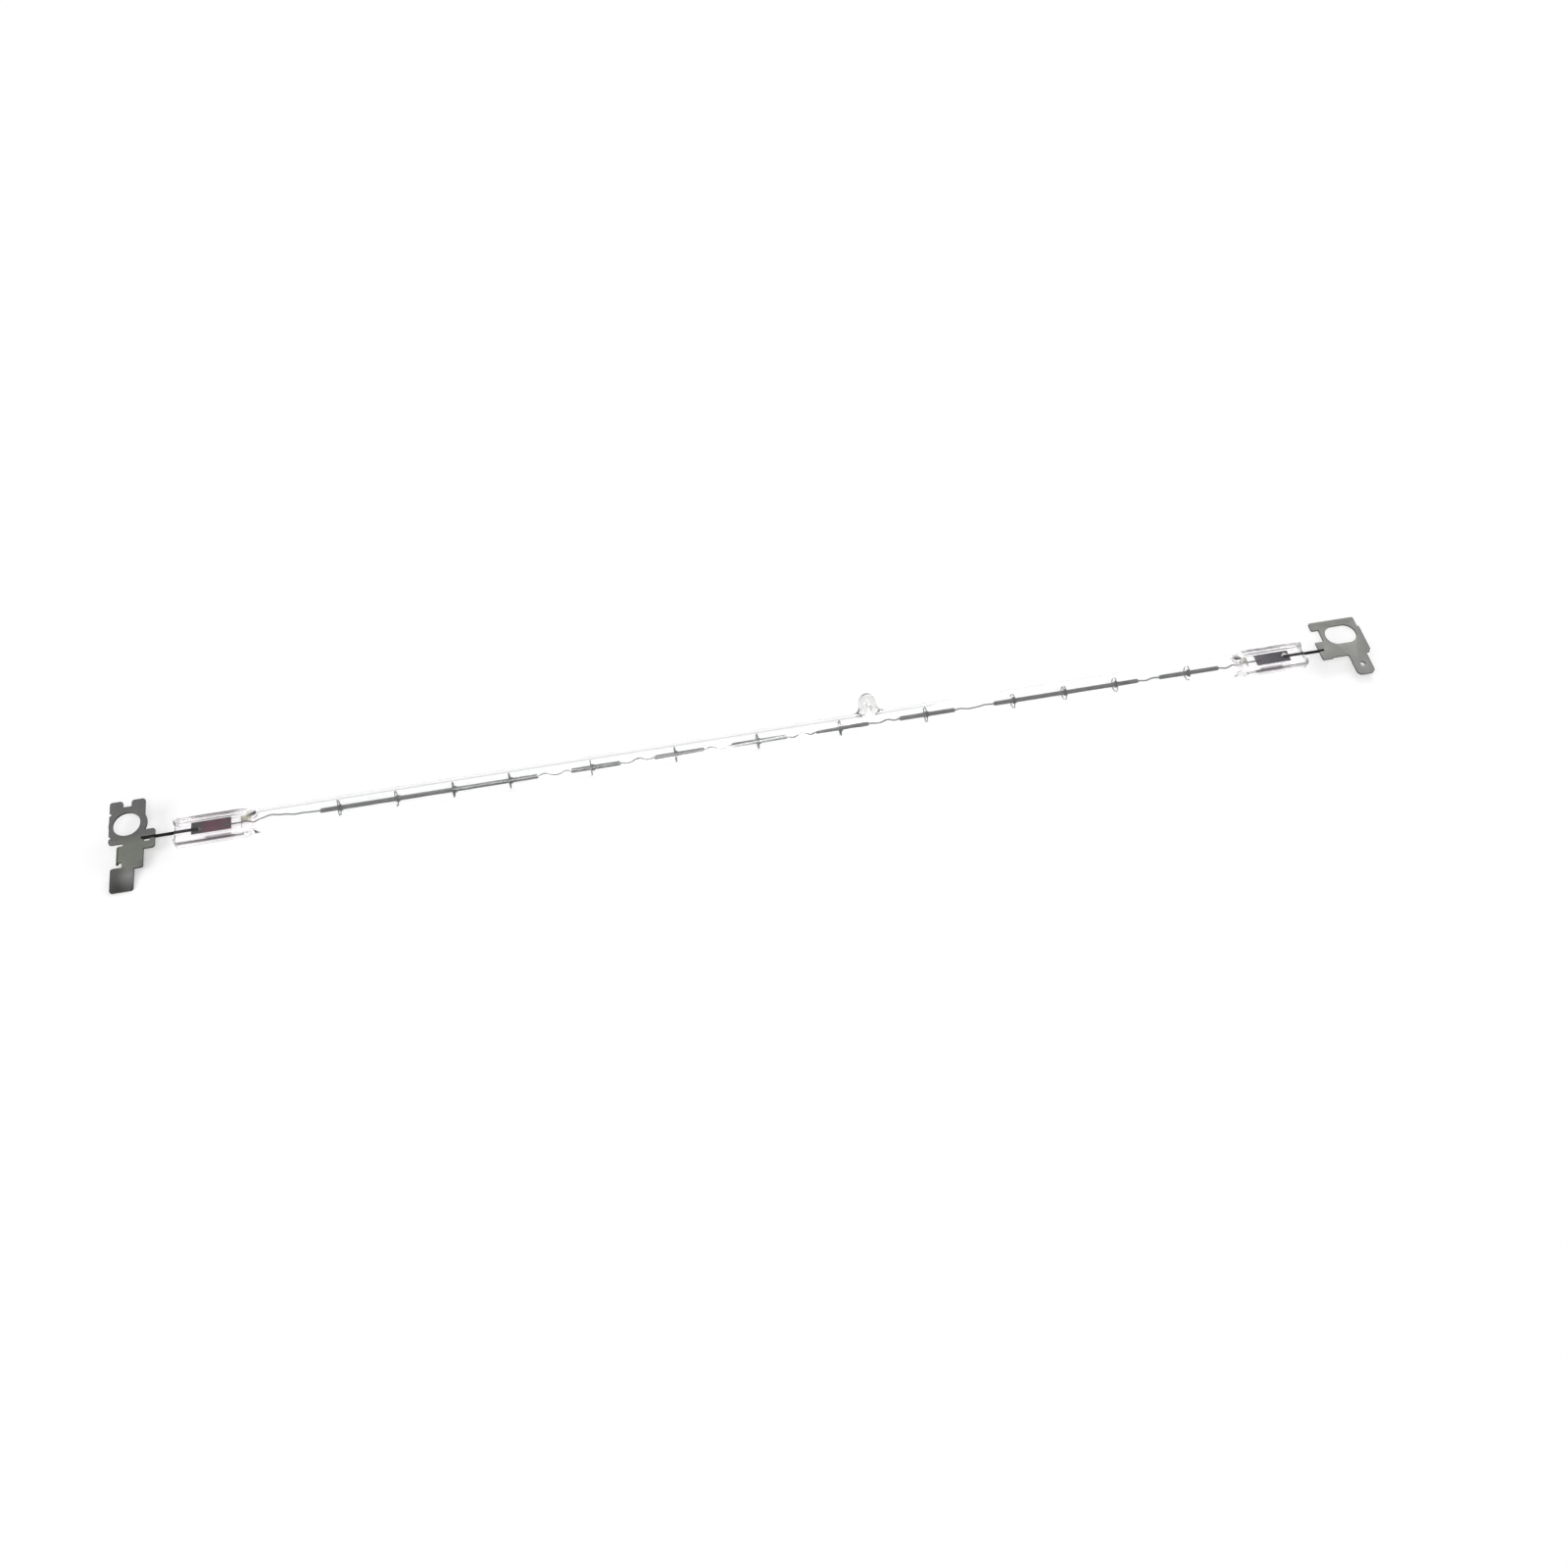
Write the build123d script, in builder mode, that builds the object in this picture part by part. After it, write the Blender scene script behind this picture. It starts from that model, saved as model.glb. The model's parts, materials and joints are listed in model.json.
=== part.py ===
from build123d import *

import math
import os

os.makedirs("parts", exist_ok=True)

# Quartz envelope, in millimetres
glass_length = 283.0  # from one pinch end to the other
tube_outer_d = 6.0
tube_wall = 1.0
pinch_length = 15.7  # flat part of the seal
pinch_width = 6.9
pinch_rail_width = 1.4
pinch_rail_thickness = 3.2
pinch_web_thickness = 1.8
pinch_corner_radius = 0.7
recess_corner_radius = 0.9
shoulder_length = 3.4  # where the round tube flattens into the pinch
shoulder_round = 0.8  # how far the flattening of the bore starts inside the round tube

# Exhaust tip, where the tube was sealed off
tip_from_middle = 26.5  # towards the right terminal
tip_height = 4.6
tip_angle = 32.0  # up from the plane of the terminals
tip_base_length = 8.6
tip_base_width = 4.4
tip_neck_d = 4.6
tip_neck_height = 1.9
tip_bore_d = 1.6
tip_glass = 1.5  # solid glass left at the very end

# Molybdenum foils and outer leads
foil_length = 9.2
foil_width = 3.3
left_foil_aside = 0.45  # each foil lies a little off the line of its lead
right_foil_aside = 0.15
foil_thickness = 0.05
foil_from_pinch_end = 3.8
weld_sink = 0.04  # depth of the flat where a wire is welded to its foil
lead_d = 0.8
lead_weld_length = 1.7
lead_gap = 4.4  # bare lead between the pinch and the terminal's prongs
left_lead_grip = 3.0  # lead held between the prongs
right_lead_grip = 1.2
lead_bite = 0.05  # depth that the lead is pressed into each prong
lead_end_gap = 0.15  # slot left beyond the end of the lead

# Filament: the gap before each coiled stretch, its length and its first support
coils = [
    {"gap": 16.2, "length": None, "first_support": 4.4},  # fills what the others leave of the bore
    {"gap": 8.1, "length": 12.0, "first_support": 4.8},
    {"gap": 8.4, "length": 12.4, "first_support": 5.1},
    {"gap": 6.8, "length": 13.8, "first_support": 6.4},
    {"gap": 7.4, "length": 13.3, "first_support": 6.0},
    {"gap": 8.0, "length": 14.2, "first_support": 6.6},
    {"gap": 10.2, "length": 38.1, "first_support": 4.9},
    {"gap": 5.8, "length": 15.9, "first_support": 7.4},
]
last_gap = 5.9  # from the last stretch to the right pinch
support_pitch = 13.5
coil_d = 1.15
jumper_d = 0.3
jumper_wave = 0.45  # sideways swing of a jumper
jumper_wave_length = 3.0  # along the lamp, from one swing to the opposite one
jumper_root = 0.5  # how far a jumper runs inside its coil
jumper_sides = 4
leg_weld_length = 1.5

# Filament supports
support_wire_d = 0.25  # drawn square
support_ring_clearance = 0.03
support_grip_clearance = 0.02
support_ring_open = 75.0  # degrees left open in the outer ring
support_grip_open = 90.0  # degrees left open in the grip
support_turn = 67.0  # degrees that each support is turned on from the one before

# Both terminals
sheet = 0.5
corner_radius = 0.5

# Left terminal, measured outwards from its prong tips and across from the lead
left_hole_d = 6.3
left_hole_out = 6.55
left_hole_up = 4.4
left_ring_d = 8.8  # metal around the round hole, standing out towards the lead
left_ring_out = 6.25
left_body_inner = 2.4
left_body_outer = 10.55
left_body_top = 10.9
left_body_bottom = -0.7
left_top_notch_width = 2.0
left_top_notch_depth = 1.7
left_top_notch_out = 6.55
left_edge_notch_d = 0.9
left_edge_notch_spacing = 6.4
left_prong_top = 2.2
left_prong_bottom = -2.9
left_prong_radius = 0.8
left_relief_start = 1.15
left_relief_bottom = -1.0
left_middle_inner = 2.55
left_middle_outer = 7.25
left_middle_bottom = -7.8
left_flange_out = 8.95
left_flange_top = -1.5
left_flange_length = 4.3
left_flange_drop = 1.3
left_bend_radius = 0.7  # inside the bend
left_blade_inner = 4.55
left_blade_width = 5.3
left_blade_top = -7.2
left_blade_bottom = -13.55
left_lug_radius = 0.65
left_blade_radius = 0.6

# Right terminal, measured the same way
right_hole_length = 8.4
right_hole_width = 5.7
right_hole_out = 7.65
right_hole_up = 4.0
right_body_inner = 2.35
right_body_outer = 12.95
right_body_top = 8.8
right_body_bottom = -2.6
right_lug_inner = 0.45
right_lug_bottom = 6.3
right_prong_top = 2.6
right_prong_bottom = -2.9
right_prong_root = 2.9
right_ear_out = 13.45
right_ear_top = 5.8
right_ear_bottom = -2.1
right_ear_radius = 0.4
right_tab_inner = 7.2
right_tab_width = 4.75
right_tab_bottom = -9.0
right_tab_radius = 1.3
right_tab_hole_d = 1.4
right_tab_hole_up = -5.9

# Worked out from the sizes above
tube_r = tube_outer_d / 2
bore_r = tube_r - tube_wall
glass_half = glass_length / 2
pinch_inner = glass_half - pinch_length
round_half = pinch_inner - shoulder_length
lead_height = foil_thickness / 2 + lead_d / 2 - weld_sink
leg_height = foil_thickness / 2 + jumper_d / 2 - weld_sink
foil_outer = glass_half - foil_from_pinch_end
foil_inner = foil_outer - foil_length
bore_end = pinch_inner - shoulder_length / 2  # where a leg leaves the glass
leg_in_glass = foil_inner + leg_weld_length - bore_end
prong_tip = glass_half + lead_gap
prong_slot = lead_d - 2 * lead_bite
left_blade_outer = left_blade_inner + left_blade_width
# Each end of the lamp: its side, its name, its foil's place across and its lead's grip
ends = (
    (-1, "left", left_foil_aside, left_lead_grip),
    (1, "right", right_foil_aside, right_lead_grip),
)

# The lamp lies on its tube and on the tip of the left blade, which sets its roll about the tube
blade_underside = lead_height - sheet / 2
blade_reach = math.hypot(left_blade_bottom, blade_underside)
roll = math.asin(tube_r / blade_reach) + math.atan2(blade_underside, -left_blade_bottom)
far_edge = left_body_top * math.cos(roll) - blade_underside * math.sin(roll)
near_edge = left_blade_bottom * math.cos(roll) - (lead_height + sheet / 2) * math.sin(roll)
left_reach = prong_tip + max(left_body_outer, left_ring_out + left_ring_d / 2)
right_reach = prong_tip + right_ear_out

# Lamp plane: x runs along the tube, y lies across in the plane of the terminals, z is square to them
lamp = Plane(
    origin=((left_reach - right_reach) / 2, -(far_edge + near_edge) / 2, tube_r),
    x_dir=(1, 0, 0),
    z_dir=(0, -math.sin(roll), math.cos(roll)),
)
# Sections across the tube: their x is the lamp's y, their y is the lamp's z
across = Plane(origin=lamp.origin, x_dir=lamp.y_dir, z_dir=lamp.x_dir)


def finish(part, name):
    part.label = name
    export_step(part, f"parts/{name}.step")


def span(x_low, x_high, y_low, y_high, mode=Mode.ADD):
    """A rectangle between two x and two y places."""
    with Locations(((x_low + x_high) / 2, (y_low + y_high) / 2)):
        return Rectangle(abs(x_high - x_low), abs(y_high - y_low), mode=mode)


# Quartz envelope: the outside of the tube with its pinches and tip, less the bore and the sealed-in metal
with BuildPart() as quartz_envelope:
    with BuildSketch(across.offset(-round_half)):
        Circle(tube_r)
    extrude(amount=2 * round_half)
    for side in (-1, 1):
        with BuildSketch(across.offset(side * round_half)):
            Circle(tube_r)
        with BuildSketch(across.offset(side * pinch_inner)):
            RectangleRounded(pinch_width, pinch_rail_thickness, pinch_corner_radius)
        loft()
        with BuildSketch(across.offset(side * pinch_inner)):
            RectangleRounded(pinch_width, pinch_rail_thickness, pinch_corner_radius)
        extrude(amount=side * pinch_length)
        # Recess in each face leaves a thin web between two rails, open at the outer end
        for face in (-1, 1):
            with BuildSketch(lamp.offset(face * pinch_web_thickness / 2)):
                with Locations((side * glass_half, 0)):
                    recess = Rectangle(2 * pinch_length, pinch_width - 2 * pinch_rail_width)
                fillet(recess.vertices(), recess_corner_radius)
            extrude(amount=face * pinch_rail_thickness, mode=Mode.SUBTRACT)

    # Exhaust tip: a flared foot on the tube and a rounded end
    radial = lamp.y_dir * math.cos(math.radians(tip_angle)) + lamp.z_dir * math.sin(math.radians(tip_angle))
    tip_foot = Plane(
        origin=lamp.from_local_coords(Vector(tip_from_middle, 0, 0)),
        x_dir=lamp.x_dir,
        z_dir=radial,
    )
    foot_inset = tube_r - math.sqrt(tube_r**2 - (tip_base_width / 2) ** 2)
    with BuildSketch(tip_foot.offset(tube_r - foot_inset)):
        Ellipse(tip_base_length / 2, tip_base_width / 2)
    with BuildSketch(tip_foot.offset(tube_r + tip_neck_height)):
        Circle(tip_neck_d / 2)
    loft()
    tip_section = Plane(origin=tip_foot.origin, x_dir=lamp.x_dir, z_dir=lamp.x_dir.cross(radial))
    with BuildSketch(tip_section):
        with BuildLine():
            neck = Line((0, tube_r + tip_neck_height), (tip_neck_d / 2, tube_r + tip_neck_height))
            dome = EllipticalCenterArc(
                (0, tube_r + tip_neck_height),
                tip_neck_d / 2,
                tip_height - tip_neck_height,
                start_angle=0,
                arc_size=90,
            )
            Line(dome @ 1, neck @ 0)
        make_face()
    revolve(axis=Axis(tip_foot.origin, radial))
    with BuildSketch(tip_foot):
        Circle(tip_bore_d / 2)
    extrude(amount=tube_r + tip_height - tip_glass, mode=Mode.SUBTRACT)

    # Bore, drawn to a point where the pinch begins
    with BuildSketch(lamp):
        with BuildLine():
            Polyline(
                (-pinch_inner, 0),
                (-pinch_inner, jumper_d / 2),
                (shoulder_round - round_half, bore_r),
                (round_half - shoulder_round, bore_r),
                (pinch_inner, jumper_d / 2),
                (pinch_inner, 0),
                close=True,
            )
        make_face()
    revolve(axis=Axis(lamp.origin, lamp.x_dir), mode=Mode.SUBTRACT)

    # Room for the foil, the lead and the filament's leg in each pinch
    for side, _, foil_aside, _ in ends:
        with BuildSketch(lamp.offset(-foil_thickness / 2)):
            with Locations((side * (foil_inner + foil_outer) / 2, foil_aside)):
                Rectangle(foil_length, foil_width)
        extrude(amount=foil_thickness, mode=Mode.SUBTRACT)
        with BuildSketch(across.offset(side * (foil_outer - lead_weld_length))):
            with Locations((0, lead_height)):
                Circle(lead_d / 2)
        extrude(amount=side * pinch_length, mode=Mode.SUBTRACT)
        with BuildSketch(across.offset(side * (foil_inner + leg_weld_length))):
            with Locations((0, leg_height)):
                Circle(jumper_d / 2)
        extrude(amount=-side * leg_in_glass, mode=Mode.SUBTRACT)

finish(quartz_envelope.part, "quartz_envelope")

# Foils and leads: each lead lies on its foil, with a flat where it is welded
for side, name, foil_aside, lead_grip in ends:
    with BuildPart() as foil:
        with BuildSketch(lamp.offset(-foil_thickness / 2)):
            with Locations((side * (foil_inner + foil_outer) / 2, foil_aside)):
                Rectangle(foil_length, foil_width)
        extrude(amount=foil_thickness)
    finish(foil.part, f"{name}_foil")

    with BuildPart() as lead:
        with BuildSketch(across.offset(side * (foil_outer - lead_weld_length))):
            with Locations((0, lead_height)):
                Circle(lead_d / 2)
        extrude(amount=side * (prong_tip + lead_grip - foil_outer + lead_weld_length))
        add(foil.part, mode=Mode.SUBTRACT)
    finish(lead.part, f"{name}_lead")

# Filament: where each coiled stretch starts and ends along the lamp
coils_and_gaps = last_gap + sum(coil["gap"] + (coil["length"] or 0) for coil in coils)
coils[0]["length"] = 2 * bore_end - coils_and_gaps
coil_spans = []
station = -bore_end
for coil in coils:
    start = station + coil["gap"]
    station = start + coil["length"]
    coil_spans.append((start, station))


def wavy_run(start, end, start_root, end_root, start_height, end_height):
    """Points of a wire that swings from side to side between two places on the lamp."""
    swings = max(2, round((end - start) / jumper_wave_length))
    step = (end - start) / (swings + 1)
    points = [(start - start_root, 0, start_height), (start, 0, start_height)]
    for i in range(swings):
        sideways = jumper_wave * (1 if i % 2 else -1)
        points.append((start + step * (i + 1), sideways, (start_height + end_height) / 2))
    points += [(end, 0, end_height), (end + end_root, 0, end_height)]
    return [lamp.from_local_coords(Vector(*point)) for point in points]


# Legs run on through the glass and lie on the foils, with a flat where they are welded
wire_runs = [
    wavy_run(-bore_end, coil_spans[0][0], leg_in_glass, jumper_root, leg_height, 0),
    wavy_run(coil_spans[-1][1], bore_end, jumper_root, leg_in_glass, 0, leg_height),
]
for (_, before), (after, _) in zip(coil_spans, coil_spans[1:]):
    wire_runs.append(wavy_run(before, after, jumper_root, jumper_root, 0, 0))

with BuildPart() as filament:
    for start, end in coil_spans:
        with BuildSketch(across.offset(start)):
            Circle(coil_d / 2)
        extrude(amount=end - start)
    # Thin wires are bent from side to side
    for points in wire_runs:
        with BuildLine() as path:
            Polyline(*points)
        with BuildSketch(Plane(origin=path.line @ 0, x_dir=lamp.y_dir, z_dir=path.line % 0)):
            RegularPolygon(jumper_d / 2, jumper_sides)
        sweep(path=path.line, transition=Transition.RIGHT)
    for side, _, foil_aside, _ in ends:
        with BuildSketch(lamp.offset(-foil_thickness / 2)):
            with Locations((side * (foil_inner + foil_outer) / 2, foil_aside)):
                Rectangle(foil_length, foil_width)
        extrude(amount=foil_thickness, mode=Mode.SUBTRACT)
finish(filament.part, "filament")

# Supports: one bent wire each, an open ring in the bore that turns in to an open grip on the coil
ring_r = bore_r - support_ring_clearance - support_wire_d / 2
grip_r = coil_d / 2 + support_grip_clearance + support_wire_d / 2
support_places = []
for coil, (start, end) in zip(coils, coil_spans):
    place = start + coil["first_support"]
    while place < end:
        support_places.append(place)
        place += support_pitch

for number, place in enumerate(support_places, 1):
    turn = math.radians(number * support_turn)
    outward = lamp.y_dir * math.cos(turn) + lamp.z_dir * math.sin(turn)
    centre = lamp.from_local_coords(Vector(place, 0, 0))
    section = Plane(origin=centre, x_dir=outward, z_dir=outward.cross(lamp.x_dir))
    with BuildPart() as filament_support:
        for radius, opening in ((ring_r, support_ring_open), (grip_r, support_grip_open)):
            with BuildSketch(section):
                with Locations((radius, 0)):
                    Rectangle(support_wire_d, support_wire_d)
            revolve(axis=Axis(centre, lamp.x_dir), revolution_arc=opening - 360)
        with BuildSketch(section):
            span(grip_r, ring_r, -support_wire_d / 2, support_wire_d / 2)
        extrude(amount=support_wire_d)
    finish(filament_support.part, f"filament_support_{number:02d}")

# Left terminal: body with the round hole, prongs for the lead, a bent flange and the contact blade
left_sheet = Plane(
    origin=lamp.from_local_coords(Vector(-prong_tip, 0, lead_height - sheet / 2)),
    x_dir=lamp.x_dir,
    z_dir=lamp.z_dir,
)


def round_corners(outline, places, radius):
    """Rounds the corners of a sketch that lie nearest to the given places."""
    for place in places:
        fillet(outline.vertices().sort_by_distance((*place, 0))[0], radius)


with BuildPart() as left_terminal:
    bend_start = left_flange_out - left_bend_radius - sheet
    flange_bottom = left_flange_top - left_flange_length
    with BuildSketch(left_sheet) as left_outline:
        span(-left_body_outer, -left_body_inner, left_body_bottom, left_body_top)
        span(-left_middle_outer, -left_middle_inner, left_middle_bottom, left_body_top / 2)
        span(-bend_start, -left_middle_inner, flange_bottom, left_flange_top)
        span(-left_blade_outer, -left_blade_inner, left_blade_bottom, left_blade_top)
        span(-left_body_inner, 0, left_prong_bottom, left_prong_top)
        span(-left_middle_inner, -left_body_inner, left_prong_bottom, left_prong_top)
        span(
            -left_top_notch_out - left_top_notch_width / 2,
            -left_top_notch_out + left_top_notch_width / 2,
            left_body_top - left_top_notch_depth,
            left_body_top,
            mode=Mode.SUBTRACT,
        )
        round_corners(
            left_outline,
            [
                (-left_body_outer, left_body_top),
                (-left_body_inner, left_body_top),
                (-left_top_notch_out - left_top_notch_width / 2, left_body_top),
                (-left_top_notch_out + left_top_notch_width / 2, left_body_top),
                (-left_body_outer, left_body_bottom),
            ],
            left_lug_radius,
        )
        round_corners(
            left_outline,
            [
                (-left_blade_outer, left_blade_bottom),
                (-left_blade_inner, left_blade_bottom),
                (-left_blade_outer, left_blade_top),
            ],
            left_blade_radius,
        )
        round_corners(left_outline, [(0, left_prong_bottom)], left_prong_radius)
        round_corners(
            left_outline,
            [(0, left_prong_top), (-left_middle_inner, left_middle_bottom)],
            corner_radius,
        )
        with Locations((-left_ring_out, left_hole_up)):
            Circle(left_ring_d / 2)
        for notch in (-1, 1):
            with Locations((-left_body_outer, left_hole_up + notch * left_edge_notch_spacing / 2)):
                Circle(left_edge_notch_d / 2, mode=Mode.SUBTRACT)
        with Locations((-left_hole_out, left_hole_up)):
            Circle(left_hole_d / 2, mode=Mode.SUBTRACT)
        span(-left_lead_grip - lead_end_gap, 0, -prong_slot / 2, prong_slot / 2, mode=Mode.SUBTRACT)
        span(-left_middle_inner, -left_relief_start, left_relief_bottom, 0, mode=Mode.SUBTRACT)
    extrude(amount=sheet)
    # Flange bent down at the outer edge of the middle
    bend_section = Plane(
        origin=left_sheet.from_local_coords(Vector(-bend_start, flange_bottom, 0)),
        x_dir=-lamp.x_dir,
        z_dir=lamp.y_dir,
    )
    with BuildSketch(bend_section):
        with Locations((0, -left_bend_radius)):
            Circle(left_bend_radius + sheet)
            Circle(left_bend_radius, mode=Mode.SUBTRACT)
            quarter = left_bend_radius + sheet
            Rectangle(quarter, quarter, align=(Align.MIN, Align.MIN), mode=Mode.INTERSECT)
        span(left_bend_radius, left_bend_radius + sheet, sheet - left_flange_drop, -left_bend_radius)
    extrude(amount=left_flange_length)
    with BuildSketch(across.offset(-prong_tip)):
        with Locations((0, lead_height)):
            Circle(lead_d / 2)
    extrude(amount=-left_lead_grip, mode=Mode.SUBTRACT)
finish(left_terminal.part, "left_terminal")

# Right terminal: body with the oblong hole, prongs for the lead and the quick-connect tab
right_sheet = Plane(
    origin=lamp.from_local_coords(Vector(prong_tip, 0, lead_height - sheet / 2)),
    x_dir=lamp.x_dir,
    z_dir=lamp.z_dir,
)
right_tab_outer = right_tab_inner + right_tab_width
with BuildPart() as right_terminal:
    with BuildSketch(right_sheet) as right_outline:
        span(right_body_inner, right_body_outer, right_body_bottom, right_body_top)
        span(right_lug_inner, right_body_inner, right_lug_bottom, right_body_top)
        span(0, right_body_inner, right_prong_bottom, right_prong_top)
        span(right_body_inner, right_prong_root, right_prong_bottom, right_body_bottom)
        span(right_body_outer, right_ear_out, right_ear_bottom, right_ear_top)
        span(right_tab_inner, right_tab_outer, right_tab_bottom, right_body_bottom)
        round_corners(
            right_outline,
            [(right_tab_inner, right_tab_bottom), (right_tab_outer, right_tab_bottom)],
            right_tab_radius,
        )
        round_corners(
            right_outline,
            [
                (right_lug_inner, right_body_top),
                (right_lug_inner, right_lug_bottom),
                (right_body_outer, right_body_top),
                (0, right_prong_bottom),
                (right_tab_inner, right_body_bottom),
            ],
            corner_radius,
        )
        round_corners(
            right_outline,
            [(right_ear_out, right_ear_top), (right_ear_out, right_ear_bottom)],
            right_ear_radius,
        )
        with Locations((right_hole_out, right_hole_up)):
            SlotOverall(right_hole_length, right_hole_width, mode=Mode.SUBTRACT)
        with Locations((right_tab_inner + right_tab_width / 2, right_tab_hole_up)):
            Circle(right_tab_hole_d / 2, mode=Mode.SUBTRACT)
        span(0, right_lead_grip + lead_end_gap, -prong_slot / 2, prong_slot / 2, mode=Mode.SUBTRACT)
    extrude(amount=sheet)
    with BuildSketch(across.offset(prong_tip)):
        with Locations((0, lead_height)):
            Circle(lead_d / 2)
    extrude(amount=right_lead_grip, mode=Mode.SUBTRACT)
finish(right_terminal.part, "right_terminal")
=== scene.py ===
import json
import math

import bmesh
import bpy
import numpy as np
from mathutils import Matrix, Vector


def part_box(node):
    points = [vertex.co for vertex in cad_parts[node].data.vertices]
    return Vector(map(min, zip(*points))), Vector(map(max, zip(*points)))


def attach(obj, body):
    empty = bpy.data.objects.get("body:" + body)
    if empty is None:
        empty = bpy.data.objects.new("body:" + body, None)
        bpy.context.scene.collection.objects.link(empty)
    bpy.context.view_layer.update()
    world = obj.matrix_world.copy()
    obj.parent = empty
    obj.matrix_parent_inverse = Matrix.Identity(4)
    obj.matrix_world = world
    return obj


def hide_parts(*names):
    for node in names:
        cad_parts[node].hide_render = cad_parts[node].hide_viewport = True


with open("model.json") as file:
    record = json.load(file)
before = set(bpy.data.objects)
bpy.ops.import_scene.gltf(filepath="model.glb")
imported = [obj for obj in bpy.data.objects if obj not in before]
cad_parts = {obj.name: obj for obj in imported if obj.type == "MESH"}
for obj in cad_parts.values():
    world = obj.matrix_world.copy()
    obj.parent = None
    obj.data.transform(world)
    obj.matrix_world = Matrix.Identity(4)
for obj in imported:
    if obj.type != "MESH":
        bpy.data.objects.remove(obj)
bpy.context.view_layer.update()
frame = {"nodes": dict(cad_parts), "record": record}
scene = bpy.context.scene
scene.view_settings.view_transform = "Standard"
mm = 0.001

# Lamp frame: x along the tube, y across in the plane of the terminals, z square to them
mounts = {mount["name"]: mount for mount in frame["record"]["mounts"]}
lampUp = Vector(mounts["left_fixing_hole"]["axis"]).normalized()
lampAlong = Vector((1, 0, 0))
lampAcross = lampUp.cross(lampAlong)
wireLow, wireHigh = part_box("filament")
glassLow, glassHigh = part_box("quartz_envelope")
lampMiddle = (wireLow + wireHigh) / 2
lampMiddle.x = (glassLow.x + glassHigh.x) / 2
lampTurn = np.array([lampAlong, lampAcross, lampUp])
print("frame loaded, lamp axis at", [round(v / mm, 2) for v in lampMiddle])


def toWorld(points):  # lamp millimetres to metres in the shared frame
    return np.asarray(points, float) @ lampTurn * mm + np.array(lampMiddle)


def ease(t):
    t = np.clip(t, 0, 1)
    return t * t * (3 - 2 * t)


def node(tree, kind, inputs=None, **settings):
    made = tree.nodes.new(kind)
    for key, value in settings.items():
        setattr(made, key, value)
    for key, value in (inputs or {}).items():
        if isinstance(value, bpy.types.NodeSocket):
            tree.links.new(value, made.inputs[key])
        else:
            made.inputs[key].default_value = value
    return made


def math2(tree, operation, first, second=0.0, clamp=False):
    made = node(tree, "ShaderNodeMath", {0: first, 1: second}, operation=operation, use_clamp=clamp)
    return made.outputs[0]


def mapRange(tree, value, fromLow, fromHigh, toLow=0.0, toHigh=1.0, smooth=False):
    made = node(tree, "ShaderNodeMapRange", {"Value": value, "From Min": fromLow, "From Max": fromHigh})
    made.inputs["To Min"].default_value = toLow
    made.inputs["To Max"].default_value = toHigh
    if smooth:
        made.interpolation_type = "SMOOTHSTEP"
    return made.outputs[0]


def product(tree, first, *others):
    for other in others:
        first = math2(tree, "MULTIPLY", first, other)
    return first


def distance2(tree, first, second):  # from two distances square to each other
    squares = math2(tree, "ADD", math2(tree, "POWER", first, 2.0), math2(tree, "POWER", second, 2.0))
    return math2(tree, "SQRT", squares)


def within(tree, value, low, high, soft):  # 1 between the two limits, fading out over the soft width
    rising = mapRange(tree, value, low - soft, low + soft, smooth=True)
    return math2(tree, "MULTIPLY", rising, mapRange(tree, value, high + soft, high - soft, smooth=True))


def mixColour(tree, factor, first, second, blend="MIX"):
    made = node(tree, "ShaderNodeMix", data_type="RGBA", blend_type=blend)
    sockets = {"Factor": made.inputs[0], "A": made.inputs[6], "B": made.inputs[7]}
    for key, value in (("Factor", factor), ("A", first), ("B", second)):
        if isinstance(value, bpy.types.NodeSocket):
            tree.links.new(value, sockets[key])
        else:
            sockets[key].default_value = value if key == "Factor" else (*value, 1)
    return made.outputs[2]


def colourRamp(tree, factor, stops):
    ramp = node(tree, "ShaderNodeValToRGB", {"Fac": factor})
    band = ramp.color_ramp
    while len(band.elements) < len(stops):
        band.elements.new(0.5)
    for element, (place, colour) in zip(band.elements, stops):
        element.position = place
        element.color = (*colour, 1)
    return ramp.outputs["Color"]


def newGroup(name, inputs, outputs):
    tree = bpy.data.node_groups.new(name, "ShaderNodeTree")
    for label, kind, value in inputs:
        socket = tree.interface.new_socket(label, in_out="INPUT", socket_type=kind)
        socket.default_value = value
    for label in outputs:
        tree.interface.new_socket(label, in_out="OUTPUT", socket_type="NodeSocketFloat")
    return tree, tree.nodes.new("NodeGroupInput"), tree.nodes.new("NodeGroupOutput")


def useGroup(tree, group, inputs=None):
    made = node(tree, "ShaderNodeGroup", node_tree=group)
    for key, value in (inputs or {}).items():
        made.inputs[key].default_value = value
    return made


def newMaterial(name, **plain):
    material = bpy.data.materials.new(name)
    material.use_nodes = True
    tree = material.node_tree
    shader = tree.nodes["Principled BSDF"]
    for key, value in plain.items():
        shader.inputs[key.replace("_", " ")].default_value = value
    return material, tree, shader


def addBump(tree, shader, height, strength, depth):  # depth in metres
    bump = node(tree, "ShaderNodeBump", {"Height": height, "Strength": strength, "Distance": depth})
    tree.links.new(bump.outputs[0], shader.inputs["Normal"])


noiseSpan = (0.3, 0.7)  # where most of a noise texture's values lie

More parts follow.
